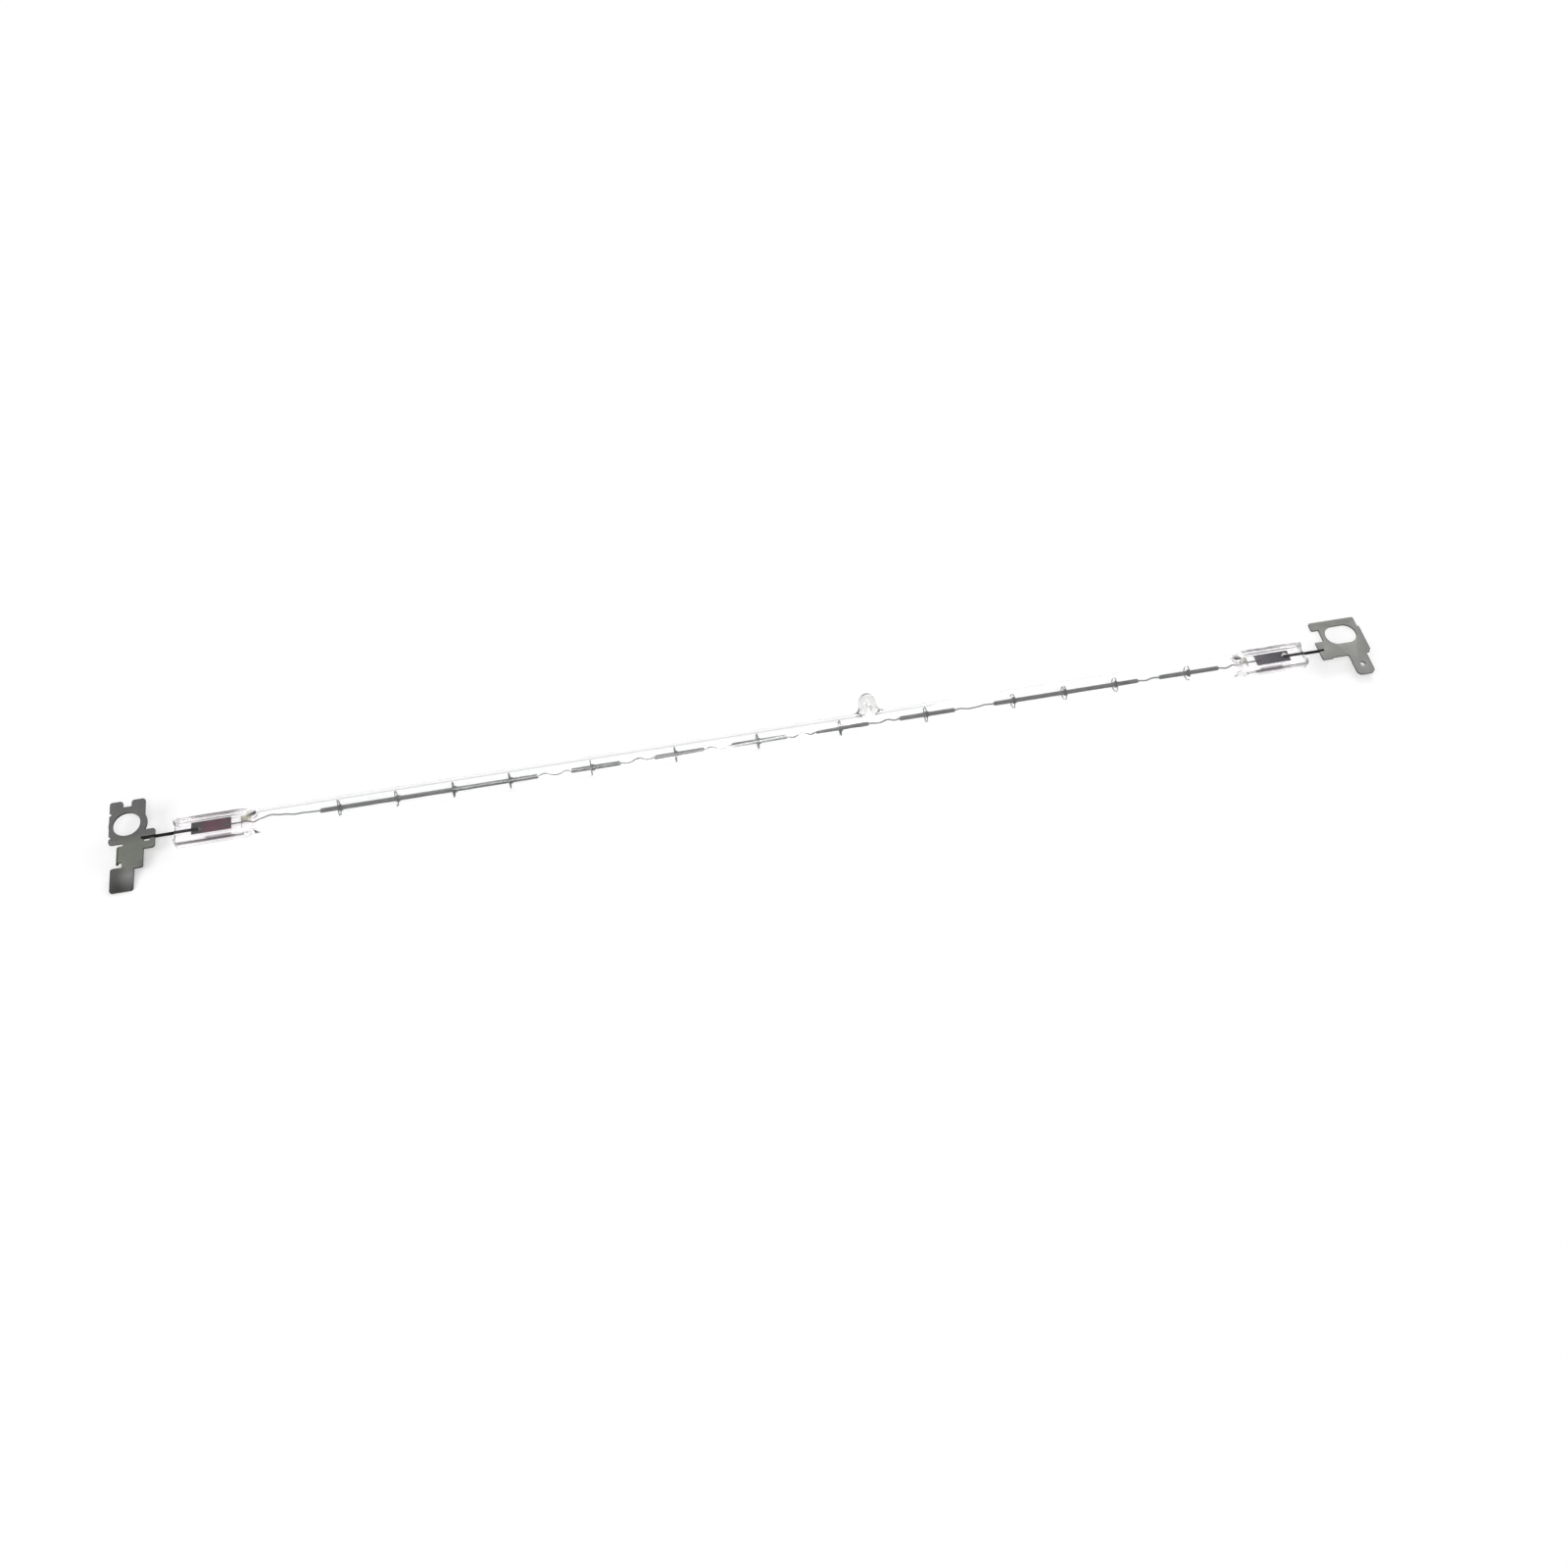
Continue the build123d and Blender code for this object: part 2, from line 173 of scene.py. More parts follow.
# Place on the lamp in millimetres, for colours that change from one end or edge to another
lampPlace, _, placeOut = newGroup("lampPlace", [], ["Along", "Across", "Up"])
coords = node(lampPlace, "ShaderNodeTexCoord")
shifted = node(
    lampPlace, "ShaderNodeVectorMath", {0: coords.outputs["Object"], 1: lampMiddle}, operation="SUBTRACT"
)
for label, direction in (("Along", lampAlong), ("Across", lampAcross), ("Up", lampUp)):
    part = node(
        lampPlace,
        "ShaderNodeVectorMath",
        {0: shifted.outputs[0], 1: direction / mm},
        operation="DOT_PRODUCT",
    )
    lampPlace.links.new(part.outputs["Value"], placeOut.inputs[label])

# Fine metal surface: slow mottle, quick grain and drawn lines along one direction
metalGrain, grainIn, grainOut = newGroup(
    "metalGrain",
    [
        ("Mottle Size", "NodeSocketFloat", 3.0),
        ("Grain Size", "NodeSocketFloat", 0.12),
        ("Line Size", "NodeSocketFloat", 0.08),
        ("Line Stretch", "NodeSocketVector", (0.03, 1.0, 1.0)),
    ],
    ["Mottle", "Grain", "Lines", "Height"],
)


def grainNoise(vector, sizeLabel, detail):
    scale = math2(metalGrain, "DIVIDE", 1 / mm, grainIn.outputs[sizeLabel])
    noise = node(metalGrain, "ShaderNodeTexNoise", {"Vector": vector, "Scale": scale, "Detail": detail})
    return noise.outputs["Fac"]


grainCoords = node(metalGrain, "ShaderNodeTexCoord").outputs["Object"]
mottle = grainNoise(grainCoords, "Mottle Size", 3.0)
grain = grainNoise(grainCoords, "Grain Size", 2.0)
drawn = node(
    metalGrain,
    "ShaderNodeVectorMath",
    {0: grainCoords, 1: grainIn.outputs["Line Stretch"]},
    operation="MULTIPLY",
).outputs[0]
lines = grainNoise(drawn, "Line Size", 2.0)
height = math2(
    metalGrain, "ADD", math2(metalGrain, "MULTIPLY", grain, 0.6), math2(metalGrain, "MULTIPLY", lines, 0.4)
)
for label, value in (("Mottle", mottle), ("Grain", grain), ("Lines", lines), ("Height", height)):
    metalGrain.links.new(value, grainOut.inputs[label])

# Cut edges of stamped sheet: a mask that is 1 where the surface turns away from the sheet's face. The
# plating paints a dark reflection there.
sheetNormal = ("Sheet Normal", "NodeSocketVector", tuple(lampUp))
cutEdge, edgeIn, edgeOut = newGroup("cutEdge", [sheetNormal], ["Edge"])
facing = node(
    cutEdge,
    "ShaderNodeVectorMath",
    {0: node(cutEdge, "ShaderNodeNewGeometry").outputs["Normal"], 1: edgeIn.outputs["Sheet Normal"]},
    operation="DOT_PRODUCT",
).outputs["Value"]
cutEdge.links.new(
    mapRange(cutEdge, math2(cutEdge, "ABSOLUTE", facing), 0.97, 0.75, smooth=True), edgeOut.inputs["Edge"]
)
print("shared node groups ready")


def dressPiece(name, mesh, material, nodeName):  # the mesh takes the place of one node of the frame
    mesh.polygons.foreach_set("use_smooth", [True] * len(mesh.polygons))
    mesh.materials.append(material)
    piece = bpy.data.objects.new(name, mesh)
    scene.collection.objects.link(piece)
    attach(piece, "root")
    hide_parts(nodeName)
    print(name, len(mesh.polygons), "faces")
    return piece


def addPiece(name, verts, faces, material, nodeName):  # from points in lamp millimetres
    mesh = bpy.data.meshes.new(name)
    mesh.from_pydata([tuple(v) for v in toWorld(verts)], [], [tuple(f) for f in faces])
    mesh.validate()
    return dressPiece(name, mesh, material, nodeName)


def sweepWire(points, radius, sides, endRound=True):  # round wire along a line of points, with rounded ends
    points = np.asarray(points, float)
    steps = np.diff(points, axis=0)
    heading = np.vstack([steps[:1], steps[1:] + steps[:-1], steps[-1:]])
    heading /= np.linalg.norm(heading, axis=1)[:, None]
    side = np.cross(heading[0], (0.31, 0.77, 0.55))
    rows = []
    radii = np.broadcast_to(radius, len(points))
    for point, along, r in zip(points, heading, radii):
        side = side - along * (side @ along)
        side /= np.linalg.norm(side)
        other = np.cross(along, side)
        turn = np.arange(sides) * 2 * math.pi / sides
        rows.append(point + r * (np.cos(turn)[:, None] * side + np.sin(turn)[:, None] * other))
    if endRound:
        first = points[0] + (rows[0] - points[0]) * 0.7 - heading[0] * radii[0] * 0.5
        last = points[-1] + (rows[-1] - points[-1]) * 0.7 + heading[-1] * radii[-1] * 0.5
        rows = [first] + rows + [last]
    verts = np.vstack(rows)
    faces = []
    for i in range(len(rows) - 1):
        for j in range(sides):
            k = (j + 1) % sides
            faces.append((i * sides + j, i * sides + k, (i + 1) * sides + k, (i + 1) * sides + j))
    faces.append(tuple(range(sides - 1, -1, -1)))
    faces.append(tuple(range(len(verts) - sides, len(verts))))
    return verts, faces


def joinMeshes(parts):
    verts, faces, count = [], [], 0
    for some, loops in parts:
        verts.append(some)
        faces += [tuple(i + count for i in loop) for loop in loops]
        count += len(some)
    return np.vstack(verts), faces


# Camera at the photograph's place
viewpoint = {
    "place": (-38.87, -185.59, 294.86),  # lamp millimetres
    "right": (0.980017, -0.197914, 0.019918),
    "down": (-0.159693, -0.842527, -0.514438),
    "focalPixels": 1447.88,
    "imageSide": 1600,
    "sensor": 36.0,
    "clipStart": 0.01,
}
cameraData = bpy.data.cameras.new("camera")
cameraData.sensor_width = viewpoint["sensor"]
cameraData.lens = viewpoint["focalPixels"] / viewpoint["imageSide"] * viewpoint["sensor"]
cameraData.clip_start = viewpoint["clipStart"]
camera = bpy.data.objects.new("camera", cameraData)
scene.collection.objects.link(camera)
cameraRight = Vector(viewpoint["right"] @ lampTurn).normalized()
cameraBack = cameraRight.cross(-Vector(viewpoint["down"] @ lampTurn)).normalized()
cameraUp = cameraBack.cross(cameraRight)
camera.matrix_world = Matrix.Translation(Vector(toWorld(viewpoint["place"]))) @ Matrix(
    (cameraRight, cameraUp, cameraBack)
).transposed().to_4x4()
scene.camera = camera
print("camera placed")

# Quartz: a clear tube, a flat pinch with two rails at each end and the sealed tip on its back
quartz = {
    "half": (glassHigh.x - glassLow.x) / 2 / mm,
    "tubeRadius": 3.0,
    "boreRadius": 2.0,
    "pinchLength": 15.7,
    "pinchWidth": 6.9,
    "railHalf": 1.6,
    "webHalf": 0.9,
    "webWidth": 4.1,
    "webEase": 0.6,  # width over which the rails run down to the web
    "webStart": (0.6, 1.0),  # the web sinks from this far before the pinch, over this length
    "edgeEase": 0.06,  # sine of the angle at which top and bottom of the pinch close up
    "cornerRadius": 0.7,
    "shoulder": 3.4,
    "endRound": 0.16,
    "endTrim": 0.05,
    "boreStop": 0.3,  # the bore ends this far before the pinch
    "boreStart": 1.2,  # and begins to close this far before the shoulder
    "boreFlat": (0.25, 0.93),  # losing these shares of its width and height
    "tipAlong": 26.5,
    "tipAngle": math.radians(32),
    "tipPatch": (5.6, 0.95),  # half length in mm and half angle of the wall that turns into the tip
    "tipRings": 32,
    "tipOuter": {"top": 4.6, "neck": 2.25, "neckHeight": 1.9, "foot": (4.3, 2.35)},
    "tipInner": {"top": 3.0, "neck": 0.9, "neckHeight": 1.5, "foot": (2.2, 1.4)},
    "columns": 144,
}


def quartzAngles():
    count, half = quartz["columns"], quartz["tipPatch"][1]
    patch = np.linspace(-half, half, 2 * quartz["tipRings"] + 1)
    rest = np.linspace(half, 2 * math.pi - half, count)[1:-1]
    return quartz["tipAngle"] + np.concatenate([patch, rest])  # the patch comes first


def quartzStations():
    half, tip, reach = quartz["half"], quartz["tipAlong"], quartz["tipPatch"][0]
    pinch = half - quartz["pinchLength"]
    shoulder = pinch - quartz["shoulder"]
    bent = np.linspace(shoulder - 1, pinch + 1.6, 40)
    straight = np.linspace(pinch + 2.2, half - 0.3, 12)
    rounded = half - quartz["endRound"] * np.array([1.0, 0.375, 0.0])
    near = np.concatenate([bent, straight, rounded])
    middle = np.linspace(-shoulder + 3, shoulder - 3, 60)
    middle = middle[np.abs(middle - tip) > reach + 0.5]
    patch = tip + np.linspace(-reach, reach, 2 * quartz["tipRings"] + 1)
    return np.sort(np.concatenate([-near, middle, near, patch]))


def pinchLoop(angles, recess):
    halfWidth, corner = quartz["pinchWidth"] / 2, quartz["cornerRadius"]
    y = halfWidth * np.cos(angles)
    over = np.clip(np.abs(y) - (halfWidth - corner), 0, corner)
    z = quartz["railHalf"] - corner + np.sqrt(np.maximum(corner**2 - over**2, 0))
    dip = 1 - ease((np.abs(y) - quartz["webWidth"] / 2) / quartz["webEase"] + 0.5)
    z = z - recess * dip * (quartz["railHalf"] - quartz["webHalf"])
    upper = np.where(np.sin(angles) >= 0, 1.0, -1.0)
    return y, z * upper * np.minimum(1, np.abs(np.sin(angles)) / quartz["edgeEase"])


def tipPatch(radius, shape):  # wall of this radius, drawn out into the tip, as rings inside a square patch
    reachAlong, reachAngle = quartz["tipPatch"]
    count = 2 * quartz["tipRings"] + 1
    a, b = np.meshgrid(np.linspace(-1, 1, count), np.linspace(-1, 1, count), indexing="ij")
    ring = np.maximum(np.abs(a), np.abs(b))
    safe = np.where(ring > 0, ring, 1)
    endways = np.abs(a) >= np.abs(b)
    turn = math.pi / 4 * b / np.where(a != 0, a, 1)
    turn = np.where(endways, turn, math.pi / 2 - math.pi / 4 * a / safe)
    turn = np.where(endways & (a < 0), turn + math.pi, turn)
    turn = np.where(~endways & (b < 0), math.pi / 4 * (a / safe) - math.pi / 2, turn)
    domeEnd, flareEnd = 0.36, 0.72  # shares of the rings
    rounded = np.clip(ring / domeEnd, 0, 1) * math.pi / 2
    flare = np.clip((ring - domeEnd) / (flareEnd - domeEnd), 0, 1)
    beyond = np.clip((ring - flareEnd) / (1 - flareEnd), 0, 1)
    reach = []
    for foot, border in zip(shape["foot"], (reachAlong, radius * math.sin(reachAngle))):
        axis = shape["neck"] * np.sin(rounded) + (foot - shape["neck"]) * flare**2
        reach.append(axis + (border - foot) * beyond)
    square = ease(beyond)
    along = (1 - square) * reach[0] * np.cos(turn) + square * a * reachAlong
    across = (1 - square) * reach[1] * np.sin(turn) + square * radius * np.sin(b * reachAngle)
    wall = np.sqrt(np.maximum(radius**2 - across**2, 0))
    crown = radius + shape["neckHeight"] + (shape["top"] - shape["neckHeight"]) * np.cos(rounded)
    high = wall + (crown - wall) * (1 - flare) ** 2
    tilt = quartz["tipAngle"]
    y = high * math.cos(tilt) - across * math.sin(tilt)
    z = high * math.sin(tilt) + across * math.cos(tilt)
    return np.stack([quartz["tipAlong"] + along, y, z], axis=2)


def quartzRows():
    angles, stations = quartzAngles(), quartzStations()
    half = quartz["half"]
    pinch = half - quartz["pinchLength"]
    shoulder = pinch - quartz["shoulder"]
    webLead, webRun = quartz["webStart"]
    outer, inner = [], []
    for x in stations:
        flat = ease((abs(x) - shoulder) / quartz["shoulder"])
        radius = quartz["tubeRadius"]
        yFlat, zFlat = pinchLoop(angles, ease((abs(x) - pinch + webLead) / webRun))
        y = (1 - flat) * radius * np.cos(angles) + flat * yFlat
        z = (1 - flat) * radius * np.sin(angles) + flat * zFlat
        trim = 1 - quartz["endTrim"] * np.clip((abs(x) - half) / quartz["endRound"] + 1, 0, 1) ** 2
        outer.append(np.column_stack([np.full_like(y, x), y * trim, z * trim]))
    boreStart, boreEnd = shoulder - quartz["boreStart"], pinch - quartz["boreStop"]
    narrower, flatter = quartz["boreFlat"]
    for x in stations[np.abs(stations) <= boreEnd]:
        close = ease((abs(x) - boreStart) / (boreEnd - boreStart))
        radius = quartz["boreRadius"]
        y = radius * np.cos(angles) * (1 - narrower * close)
        z = radius * np.sin(angles) * (1 - flatter * close)
        inner.append(np.column_stack([np.full_like(y, x), y, z]))
    patchSide = 2 * quartz["tipRings"] + 1
    for rows, radius, shape in (
        (outer, quartz["tubeRadius"], quartz["tipOuter"]),
        (inner, quartz["boreRadius"], quartz["tipInner"]),
    ):
        patch = tipPatch(radius, shape)
        places = np.array([row[0, 0] for row in rows])
        first = int(np.argmin(np.abs(places - (quartz["tipAlong"] - quartz["tipPatch"][0]))))
        for i in range(patchSide):
            rows[first + i][:patchSide] = patch[i]
    return outer, inner


def skinRows(rows, outward):
    count = len(rows[0])
    faces = []
    for i in range(len(rows) - 1):
        for j in range(count):
            k = (j + 1) % count
            loop = (i * count + j, i * count + k, (i + 1) * count + k, (i + 1) * count + j)
            faces.append(loop[::-1] if outward else loop)
    first = tuple(range(count))
    last = tuple(range((len(rows) - 1) * count, len(rows) * count))
    faces += [first, last[::-1]] if outward else [first[::-1], last]
    return np.vstack(rows), [face[::-1] for face in faces]


pinchTone = {
    "clear": (0.985, 0.99, 0.99),
    "pressed": (0.945, 0.925, 0.94),
    "pressedFrom": (121.0, 126.0),  # millimetres from the lamp's middle
    # painted grey shade on the tip's dome
    "tip": (0.78, 0.78, 0.765),
    "tipSpan": (4.6, 0.8),  # half length and soft width of the painted tip shade
    "tipHeight": (3.05, 3.8),  # from the tube's axis, over which the painted tip shade fades in
    "shadow": (0.9, 0.9, 0.905),
    "coatRough": 0.18,
    "coatFrom": (2.3, 2.7),  # between bore and outside: only the outside is coated
    "workedRough": (0.45, 0.75, 0.0, 0.05),  # from the mottle of the pressed glass
    "softRough": 0.16,
    "softRail": (-1.8, -2.5),  # the near rail turns soft between these distances from the middle
    "softFrom": (118.5, 121.5),  # and from the start of the shoulder on
    "softEnd": (138.6, 140.2),  # so does each pinch towards its end
    "bump": (0.35, 0.00006),
}
pinchPaintedShades = [  # painted shade marks in the glass, standing in for darker surroundings seen through it; each with (from, to, soft width) in mm and the mottle between which it shows
    {  # painted dark shade line on the far rail
        "along": (126.3, 137.6, 0.5),
        "across": (2.75, 4.0, 0.15),
        "up": (0.3, 2.0, 0.2),
        "uneven": (0.25, 0.4),
        "colour": (0.06, 0.05, 0.06),
    },
    {  # painted paler shade line on the near rail
        "along": (128.2, 134.2, 0.4),
        "across": (-3.5, -2.95, 0.15),
        "up": (0.5, 2.0, 0.2),
        "uneven": (0.2, 0.35),
        "colour": (0.22, 0.19, 0.21),
    },
    {  # painted dark outline at the far corner of the end
        "along": (140.7, 142.0, 0.2),
        "across": (2.2, 4.0, 0.2),
        "up": (-2.0, 2.0, 0.2),
        "uneven": (0.3, 0.6),
        "colour": (0.35, 0.33, 0.35),
    },
    {  # painted dark outline at the near corner of the end
        "along": (140.7, 142.0, 0.2),
        "across": (-4.0, -2.2, 0.2),
        "up": (-2.0, 2.0, 0.2),
        "uneven": (0.3, 0.6),
        "colour": (0.35, 0.33, 0.35),
    },
    {  # painted olive-brown swirl of shade where the bore ends in the shoulder
        "along": (123.0, 126.2, 0.5),
        "across": (-0.6, 2.6, 0.5),
        "up": (0.0, 3.0, 0.3),
        "uneven": (0.42, 0.58),
        "colour": (0.42, 0.4, 0.31),
    },
]
glassClear, glassTree, glassShader = newMaterial(
    "clearQuartz",
    Metallic=0.0,
    Transmission_Weight=1.0,
    IOR=1.458,
    Specular_IOR_Level=0.0,  # the coat carries the reflections
    Coat_Roughness=pinchTone["coatRough"],
    Coat_IOR=1.458,
)
glassPlace = useGroup(glassTree, lampPlace)
glassWork = useGroup(glassTree, metalGrain, {"Mottle Size": 4.0, "Grain Size": 0.9, "Line Size": 0.7})
glassX = math2(glassTree, "ABSOLUTE", glassPlace.outputs["Along"])
glassY, glassZ = glassPlace.outputs["Across"], glassPlace.outputs["Up"]
glassOut = distance2(glassTree, glassY, glassZ)
pinched = mapRange(glassTree, glassX, *pinchTone["pressedFrom"], smooth=True)
glassColour = mixColour(glassTree, pinched, pinchTone["clear"], pinchTone["pressed"])
# mix each painted shade mark into the glass colour
for patch in pinchPaintedShades:
    mask = product(
        glassTree,
        within(glassTree, glassX, *patch["along"]),
        within(glassTree, glassY, *patch["across"]),
        within(glassTree, glassZ, *patch["up"]),
        mapRange(glassTree, glassWork.outputs["Mottle"], *patch["uneven"], smooth=True),
    )
    glassColour = mixColour(glassTree, mask, glassColour, patch["colour"])
# painted grey shade on the tip
tipHalf, tipSoft = pinchTone["tipSpan"]
paintedTipShade = math2(
    glassTree,
    "MULTIPLY",
    within(
        glassTree,
        glassPlace.outputs["Along"],
        quartz["tipAlong"] - tipHalf,
        quartz["tipAlong"] + tipHalf,
        tipSoft,
    ),
    mapRange(glassTree, glassOut, *pinchTone["tipHeight"], smooth=True),
)
glassColour = mixColour(glassTree, paintedTipShade, glassColour, pinchTone["tip"])
glassTree.links.new(glassColour, glassShader.inputs["Base Color"])
coated = mapRange(glassTree, glassOut, *pinchTone["coatFrom"])
glassTree.links.new(coated, glassShader.inputs["Coat Weight"])
glassRough = math2(
    glassTree,
    "MULTIPLY",
    mapRange(glassTree, glassWork.outputs["Mottle"], *pinchTone["workedRough"]),
    pinched,
)
softGlass = math2(
    glassTree,
    "MAXIMUM",
    math2(
        glassTree,
        "MULTIPLY",
        mapRange(glassTree, glassY, *pinchTone["softRail"], smooth=True),
        mapRange(glassTree, glassX, *pinchTone["softFrom"], smooth=True),
    ),
    mapRange(glassTree, glassX, *pinchTone["softEnd"], smooth=True),
)
softGlass = math2(glassTree, "MULTIPLY", softGlass, pinchTone["softRough"])
glassTree.links.new(math2(glassTree, "ADD", glassRough, softGlass), glassShader.inputs["Roughness"])
addBump(
    glassTree,
    glassShader,
    math2(glassTree, "MULTIPLY", glassWork.outputs["Height"], pinched),
    *pinchTone["bump"],
)
glassLet = node(glassTree, "ShaderNodeBsdfTransparent", {"Color": (*pinchTone["shadow"], 1)})
lightPath = node(glassTree, "ShaderNodeLightPath")
glassMix = node(
    glassTree,
    "ShaderNodeMixShader",
    {0: lightPath.outputs["Is Shadow Ray"], 1: glassShader.outputs[0], 2: glassLet.outputs[0]},
)
glassTree.links.new(glassMix.outputs[0], glassTree.nodes["Material Output"].inputs["Surface"])

outerRows, innerRows = quartzRows()
quartzVerts, quartzFaces = joinMeshes([skinRows(outerRows, True), skinRows(innerRows, False)])
quartzTube = addPiece("quartzTube", quartzVerts, quartzFaces, glassClear, "quartz_envelope")

# Filament: one wire, coiled in eight stretches and wavy between them
filamentWire = {
    "wireRadius": 0.13,
    "runRadius": 0.19,  # where the wire runs straight between coils
    "coilRadius": 0.45,
    "coilPitch": 0.27,
    "stepsPerTurn": 13,
    "stepsPerMm": 3,  # in the thin runs
    "leastSteps": 16,
    "sides": 6,
    "wave": (0.12, 1.7),  # rise and fall of the thin runs in mm, and its rate in radians per mm
    "coils": [
        (-107.9, -56.2),
        (-48.1, -36.1),
        (-27.7, -15.3),
        (-8.5, 5.3),
        (12.7, 26.0),
        (34.0, 48.2),
        (58.4, 96.5),
        (102.3, 118.2),
    ],
    "legStart": 130.0,  # on the foil
    "legGlass": 124.1,  # where the leg leaves the glass
    "legHeight": 0.125,
    "bends": [  # each thin run's bends: place along the lamp and distance to one side
        [(-121.6, 0.45), (-119.2, 0.98), (-116.6, 0.6), (-113.6, 0.2), (-110.2, 0.14)],
        [(-54.8, 0.4), (-51.6, -0.42), (-49.3, 0.28)],
        [(-34.6, -0.3), (-31.6, 0.45), (-29.2, -0.15)],
        [(-13.8, 0.42), (-11.0, -0.5)],
        [(6.6, -0.5), (9.2, 0.45), (11.4, -0.45)],
        [(28.6, -0.28), (31.2, 0.24), (32.9, -0.2)],
        [(49.8, 0.12), (52.3, -0.32), (55.6, 0.08)],
        [(98.2, -0.32), (100.4, 0.12)],
        [(119.9, -0.4), (122.2, 0.12)],
    ],
}


def bentRun(start, end, startHeight, endHeight, bends):  # smooth curve through the bends of one thin run
    knots = np.array([(start, 0.0), *bends, (end, 0.0)])
    slope = np.gradient(knots[:, 1], knots[:, 0])
    slope[0] = slope[-1] = 0.0
    steps = max(filamentWire["leastSteps"], round((end - start) * filamentWire["stepsPerMm"]))
    x = np.linspace(start, end, steps)[1:-1]
    low = np.clip(np.searchsorted(knots[:, 0], x) - 1, 0, len(knots) - 2)
    width = knots[low + 1, 0] - knots[low, 0]
    t = (x - knots[low, 0]) / width
    y = (2 * t**3 - 3 * t**2 + 1) * knots[low, 1] + (3 * t**2 - 2 * t**3) * knots[low + 1, 1]
    y = y + width * ((t**3 - 2 * t**2 + t) * slope[low] + (t**3 - t**2) * slope[low + 1])
    part = (x - start) / (end - start)
    rise, rate = filamentWire["wave"]
    wave = rise * np.sin((x - start) * rate) * np.sin(math.pi * part)
    z = startHeight + (endHeight - startHeight) * part + wave
    return np.column_stack([x, y, z])


def coiledRun(start, end):
    turns = round((end - start) / filamentWire["coilPitch"])
    s = np.linspace(0, 1, turns * filamentWire["stepsPerTurn"] + 1)
    turn = 2 * math.pi * turns * s
    drawnIn = ease(turn / math.pi) * ease((2 * math.pi * turns - turn) / math.pi)  # to the axis at both ends
    radius = filamentWire["coilRadius"] * drawnIn
    return np.column_stack([start + (end - start) * s, radius * np.cos(turn), radius * np.sin(turn)])


def filamentLine():
    coils, height, bends = filamentWire["coils"], filamentWire["legHeight"], filamentWire["bends"]
    legStart, legGlass = filamentWire["legStart"], filamentWire["legGlass"]
    runs = [[(-legStart, 0, height), (-legGlass, 0, height)]]
    runs.append(bentRun(-legGlass, coils[0][0], height, 0, bends[0]))
    for i, (start, end) in enumerate(coils):
        runs.append(coiledRun(start, end))
        if i + 1 < len(coils):
            runs.append(bentRun(end, coils[i + 1][0], 0, 0, bends[i + 1]))
    runs.append(bentRun(coils[-1][1], legGlass, 0, height, bends[-1]))
    runs.append([(legGlass, 0, height), (legStart, 0, height)])
    return np.vstack(runs)


def wireMaterial(name, pale, dark, roughness):
    material, tree, shader = newMaterial(name, Metallic=1.0)
    grainNode = useGroup(tree, metalGrain, {"Mottle Size": 2.0, "Grain Size": 0.05, "Line Size": 0.05})
    tone = mapRange(tree, grainNode.outputs["Mottle"], *noiseSpan)
    tree.links.new(mixColour(tree, tone, dark, pale), shader.inputs["Base Color"])
    rough = mapRange(tree, grainNode.outputs["Lines"], *noiseSpan, roughness - 0.08, roughness + 0.1)
    tree.links.new(rough, shader.inputs["Roughness"])
    addBump(tree, shader, grainNode.outputs["Height"], 0.3, 0.00001)
    return material


tungstenGrey = wireMaterial("tungstenGrey", (0.17, 0.17, 0.168), (0.12, 0.12, 0.118), 0.42)
supportGrey = wireMaterial("supportGrey", (0.1, 0.1, 0.105), (0.06, 0.06, 0.064), 0.4)
wireLine = filamentLine()
wound = np.clip(np.hypot(wireLine[:, 1], wireLine[:, 2]) / filamentWire["coilRadius"], 0, 1)
inCoil = np.any([(wireLine[:, 0] > a) & (wireLine[:, 0] < b) for a, b in filamentWire["coils"]], axis=0)
thinner = filamentWire["wireRadius"] - filamentWire["runRadius"]
wireThick = filamentWire["runRadius"] + thinner * wound * inCoil
wireVerts, wireFaces = sweepWire(wireLine, wireThick, filamentWire["sides"])
addPiece("filamentCoil", wireVerts, wireFaces, tungstenGrey, "filament")

# Supports: an open ring in the bore, a spoke and a few turns round the coil, all one wire
supportWire = {
    "wireRadius": 0.13,
    "ringRadius": 1.83,
    "gripRadius": 0.72,
    "gripTurns": 2.6,
    "gripPitch": 0.29,
    "ringArc": 325,
    "freeEnd": 0.06,  # the ring's free end stands this far along from its start
    "lean": 0.35,  # radians by which the spoke leans over
    "points": (61, 9, 49),  # in the ring, the spoke and the grip
    "turnEach": 67,
    "sides": 8,
}


def supportLine(turn):
    ring, grip = supportWire["ringRadius"], supportWire["gripRadius"]
    ringPoints, spokePoints, gripPoints = supportWire["points"]
    ringArc, gripArc = math.radians(supportWire["ringArc"]), 2 * math.pi * supportWire["gripTurns"]
    gripLength, lean = supportWire["gripPitch"] * supportWire["gripTurns"], supportWire["lean"]
    points = []
    for s in np.linspace(1, 0, ringPoints):  # free end first
        points.append((supportWire["freeEnd"] * s, ring, turn - ringArc * s))
    for s in np.linspace(0, 1, spokePoints)[1:]:
        points.append((0.0, ring + (grip - ring) * s, turn + lean * ease(s)))
    for s in np.linspace(0, 1, gripPoints)[1:]:
        points.append((gripLength * s, grip, turn + lean + gripArc * s))
    return np.array([(x, r * math.cos(a), r * math.sin(a)) for x, r, a in points])


supportNodes = sorted(name for name in frame["nodes"] if name.startswith("filament_support_"))
for number, nodeName in enumerate(supportNodes, 1):
    low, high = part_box(nodeName)
    station = ((low.x + high.x) / 2 - lampMiddle.x) / mm
    line = supportLine(math.radians(supportWire["turnEach"] * number)) + np.array([station, 0, 0])
    some, loops = sweepWire(line, supportWire["wireRadius"], supportWire["sides"])
    addPiece(f"supportRing{number:02d}", some, loops, supportGrey, nodeName)

